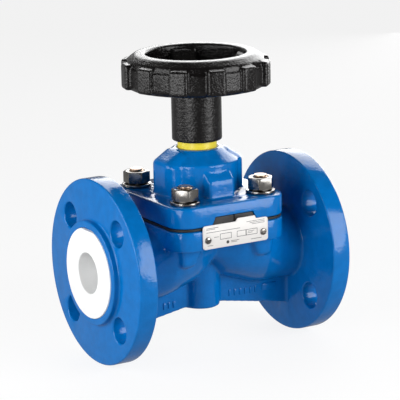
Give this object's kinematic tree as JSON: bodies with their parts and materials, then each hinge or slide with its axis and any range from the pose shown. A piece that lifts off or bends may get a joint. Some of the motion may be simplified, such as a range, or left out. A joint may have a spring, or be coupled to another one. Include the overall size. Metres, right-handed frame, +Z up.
{
  "type": "diaphragm valve",
  "caption": "Flanged weir-type diaphragm valve with a lined blue body, bolted bonnet, yellow position indicator and black rising handwheel.",
  "frame": {"origin": "where the axis of the bore crosses the axis of the spindle, which is where the pipeline holds the valve", "axes": "+X along the bore towards the outlet flange, +Z up the spindle, -Y towards the nameplate"},
  "size_m": [0.206, 0.15, 0.242],
  "materials": {
    "blue_paint": "glossy sprayed paint on a casting",
    "white_ptfe": "smooth moulded PTFE",
    "black_rubber": "moulded rubber",
    "bright_zinc": "bright plated steel",
    "spindle_steel": "turned stainless steel",
    "brass": "turned brass",
    "cast_iron": "bare casting",
    "black_wheel": "satin black moulding with fine grain",
    "yellow_sleeve": "smooth moulded plastic",
    "plate_white": "off-white printed plate"
  },
  "bodies": {
    "valve_body": {"body": "blue_paint", "body_lining": "white_ptfe", "bonnet": "blue_paint", "spindle_nut": "brass", "indicator_seal": "black_rubber", "nameplate": "plate_white", "nameplate_rivet_left": "bright_zinc", "nameplate_rivet_right": "bright_zinc", "bonnet_stud_1": "bright_zinc", "bonnet_stud_2": "bright_zinc", "bonnet_stud_3": "bright_zinc", "bonnet_stud_4": "bright_zinc", "bonnet_washer_1": "bright_zinc", "bonnet_washer_2": "bright_zinc", "bonnet_washer_3": "bright_zinc", "bonnet_washer_4": "bright_zinc", "bonnet_nut_1": "bright_zinc", "bonnet_nut_2": "bright_zinc", "bonnet_nut_3": "bright_zinc", "bonnet_nut_4": "bright_zinc"},
    "lifting_set": {"compressor": "cast_iron", "compressor_pin": "spindle_steel", "diaphragm_stud": "spindle_steel", "thrust_washer": "brass", "diaphragm": "black_rubber", "diaphragm_facing": "white_ptfe"},
    "wheel_set": {"spindle": "spindle_steel", "handwheel": "black_wheel", "position_indicator": "yellow_sleeve", "wheel_key": "spindle_steel", "hub_washer": "bright_zinc", "hub_nut": "bright_zinc", "hub_cap": "black_wheel"}
  },
  "joints": [
    {"name": "lift", "type": "slide", "parent": "valve_body", "child": "lifting_set", "axis": [0, 0, 1], "range_m": [-0.005, 0.013], "deforming": ["diaphragm", "diaphragm_facing"]},
    {"name": "handwheel_turn", "type": "hinge", "parent": "lifting_set", "child": "wheel_set", "pos_m": [0, 0, 0.096], "axis": [0, 0, 1], "range_deg": [-450, 1170]}
  ],
  "couplings": [
    {"joint": "lift", "follows": "handwheel_turn", "m_per_rad": 0.00063662}
  ]
}
